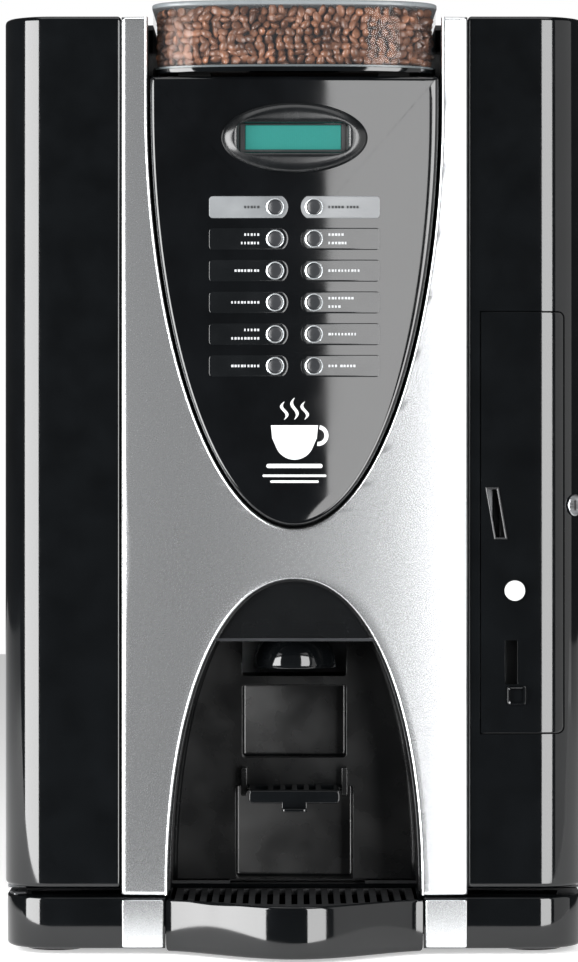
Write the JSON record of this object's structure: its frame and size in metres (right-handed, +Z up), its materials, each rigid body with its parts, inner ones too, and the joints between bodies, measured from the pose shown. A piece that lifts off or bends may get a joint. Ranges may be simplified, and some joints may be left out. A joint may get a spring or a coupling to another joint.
{
  "type": "coffee vending machine",
  "caption": "Table-top hot coffee vending machine with bean hopper, hinged front door, selection buttons, arched cup niche, coin unit and bowed drip tray.",
  "frame": {"origin": "bottom centre of the machine's bounding box, on the floor", "axes": "+X to the right seen from the front, +Y to the back, +Z up"},
  "size_m": [0.46, 0.564, 0.75],
  "materials": {
    "gloss_black": "gloss",
    "satin_black": "satin",
    "silver_paint": "metallic satin",
    "cabinet_paint": "semi-matt",
    "bare_sheet": "galvanised",
    "steel": "machined",
    "brass": "plain",
    "smoked": "smoked clear",
    "clear": "clear",
    "frosted": "translucent",
    "beans": "oily",
    "white_plastic": "gloss",
    "grey_plastic": "satin",
    "screen": "lit",
    "board": "satin",
    "hose": "translucent",
    "foot_rubber": "matt"
  },
  "bodies": {
    "cabinet": {"cabinet_shell": "cabinet_paint", "top_cover": "cabinet_paint", "base_plinth": "gloss_black", "base_trims": "silver_paint", "feet": "foot_rubber", "rear_panel": "cabinet_paint", "hinge_pins": "steel", "water_inlet": "brass", "power_inlet": "satin_black", "bulkhead": "bare_sheet", "boiler": "steel", "pump": "steel", "grinder_body": "grey_plastic", "brew_unit": "grey_plastic", "canisters": "frosted", "mixer_bowls": "frosted", "drive_motors": "satin_black", "dispensing_head": "satin_black", "hoses": "hose", "waste_bin": "satin_black", "hopper": "clear", "coffee_beans": "beans"},
    "door": {"door_frame": "bare_sheet", "left_column": "gloss_black", "right_column": "gloss_black", "silver_fascia": "silver_paint", "control_panel": "gloss_black", "lcd_bezel": "gloss_black", "lcd_screen": "screen", "label_plates": "gloss_black", "control_board": "board", "niche_liner": "gloss_black", "niche_visor": "smoked", "coin_mechanism": "grey_plastic"},
    "burr": {"grinder_burr": "steel"},
    "piston": {"brew_piston": "white_plastic"},
    "auger_1_body": {"auger_1": "white_plastic"},
    "auger_2_body": {"auger_2": "white_plastic"},
    "auger_3_body": {"auger_3": "white_plastic"},
    "whipper_1_body": {"whipper_1": "white_plastic"},
    "whipper_2_body": {"whipper_2": "white_plastic"},
    "hopper_lid_body": {"hopper_lid": "frosted"},
    "tray": {"drip_tray": "gloss_black"},
    "grille": {"drip_grille": "satin_black"},
    "payment_door_body": {"payment_door": "gloss_black"},
    "reject_button_body": {"reject_button": "white_plastic"},
    "shelf": {"cup_shelf": "silver_paint"},
    "lock": {"door_lock": "steel"},
    "button_01_body": {"button_01": "satin_black"},
    "button_02_body": {"button_02": "satin_black"},
    "button_03_body": {"button_03": "satin_black"},
    "button_04_body": {"button_04": "satin_black"},
    "button_05_body": {"button_05": "satin_black"},
    "button_06_body": {"button_06": "satin_black"},
    "button_07_body": {"button_07": "satin_black"},
    "button_08_body": {"button_08": "satin_black"},
    "button_09_body": {"button_09": "satin_black"},
    "button_10_body": {"button_10": "satin_black"},
    "button_11_body": {"button_11": "satin_black"},
    "button_12_body": {"button_12": "satin_black"}
  },
  "joints": [
    {"name": "door_hinge", "type": "hinge", "parent": "cabinet", "child": "door", "pos_m": [-0.224, -0.174, 0.4], "axis": [0, 0, -1], "range_deg": [0, 105]},
    {"name": "payment_door_hinge", "type": "hinge", "parent": "door", "child": "payment_door_body", "pos_m": [0.1481, -0.2305, 0.34], "axis": [0, 0, -1], "range_deg": [0, 90]},
    {"name": "reject_push", "type": "slide", "parent": "payment_door_body", "child": "reject_button_body", "axis": [0, 1, 0], "range_m": [0, 0.0025], "stiffness_N_per_m": 400},
    {"name": "lock_turn", "type": "hinge", "parent": "door", "child": "lock", "pos_m": [0.191, -0.193, 0.354], "axis": [0.766, -0.6428, 0], "range_deg": [0, 90]},
    {"name": "shelf_fold", "type": "hinge", "parent": "door", "child": "shelf", "pos_m": [0, -0.1555, 0.125], "axis": [-1, 0, 0], "range_deg": [0, 84]},
    {"name": "hopper_lid_hinge", "type": "hinge", "parent": "cabinet", "child": "hopper_lid_body", "pos_m": [0, -0.0592, 0.74815], "axis": [-1, 0, 0], "range_deg": [0, 100]},
    {"name": "tray_slide", "type": "slide", "parent": "cabinet", "child": "tray", "axis": [0, -1, 0], "range_m": [0, 0.15]},
    {"name": "grille_lift", "type": "slide", "parent": "tray", "child": "grille", "axis": [0, 0, 1], "range_m": [0, 0.028]},
    {"name": "burr_spin", "type": "hinge", "parent": "cabinet", "child": "burr", "pos_m": [0, -0.105, 0.61], "axis": [0, 0, 1], "continuous": true},
    {"name": "piston_slide", "type": "slide", "parent": "cabinet", "child": "piston", "axis": [0, 0, -1], "range_m": [0, 0.085]},
    {"name": "auger_1_spin", "type": "hinge", "parent": "cabinet", "child": "auger_1_body", "pos_m": [-0.096, 0, 0.476], "axis": [0, -1, 0], "continuous": true},
    {"name": "auger_2_spin", "type": "hinge", "parent": "cabinet", "child": "auger_2_body", "pos_m": [0.096, 0, 0.476], "axis": [0, -1, 0], "continuous": true},
    {"name": "auger_3_spin", "type": "hinge", "parent": "cabinet", "child": "auger_3_body", "pos_m": [0.162, 0, 0.476], "axis": [0, -1, 0], "continuous": true},
    {"name": "whipper_1_spin", "type": "hinge", "parent": "cabinet", "child": "whipper_1_body", "pos_m": [-0.096, -0.097, 0.388], "axis": [0, 1, 0], "continuous": true},
    {"name": "whipper_2_spin", "type": "hinge", "parent": "cabinet", "child": "whipper_2_body", "pos_m": [0.129, -0.097, 0.388], "axis": [0, 1, 0], "continuous": true},
    {"name": "button_01_push", "type": "slide", "parent": "door", "child": "button_01_body", "axis": [0, 1, 0], "range_m": [0, 0.0015], "stiffness_N_per_m": 500},
    {"name": "button_02_push", "type": "slide", "parent": "door", "child": "button_02_body", "axis": [0, 1, 0], "range_m": [0, 0.0015], "stiffness_N_per_m": 500},
    {"name": "button_03_push", "type": "slide", "parent": "door", "child": "button_03_body", "axis": [0, 1, 0], "range_m": [0, 0.0015], "stiffness_N_per_m": 500},
    {"name": "button_04_push", "type": "slide", "parent": "door", "child": "button_04_body", "axis": [0, 1, 0], "range_m": [0, 0.0015], "stiffness_N_per_m": 500},
    {"name": "button_05_push", "type": "slide", "parent": "door", "child": "button_05_body", "axis": [0, 1, 0], "range_m": [0, 0.0015], "stiffness_N_per_m": 500},
    {"name": "button_06_push", "type": "slide", "parent": "door", "child": "button_06_body", "axis": [0, 1, 0], "range_m": [0, 0.0015], "stiffness_N_per_m": 500},
    {"name": "button_07_push", "type": "slide", "parent": "door", "child": "button_07_body", "axis": [0, 1, 0], "range_m": [0, 0.0015], "stiffness_N_per_m": 500},
    {"name": "button_08_push", "type": "slide", "parent": "door", "child": "button_08_body", "axis": [0, 1, 0], "range_m": [0, 0.0015], "stiffness_N_per_m": 500},
    {"name": "button_09_push", "type": "slide", "parent": "door", "child": "button_09_body", "axis": [0, 1, 0], "range_m": [0, 0.0015], "stiffness_N_per_m": 500},
    {"name": "button_10_push", "type": "slide", "parent": "door", "child": "button_10_body", "axis": [0, 1, 0], "range_m": [0, 0.0015], "stiffness_N_per_m": 500},
    {"name": "button_11_push", "type": "slide", "parent": "door", "child": "button_11_body", "axis": [0, 1, 0], "range_m": [0, 0.0015], "stiffness_N_per_m": 500},
    {"name": "button_12_push", "type": "slide", "parent": "door", "child": "button_12_body", "axis": [0, 1, 0], "range_m": [0, 0.0015], "stiffness_N_per_m": 500}
  ]
}
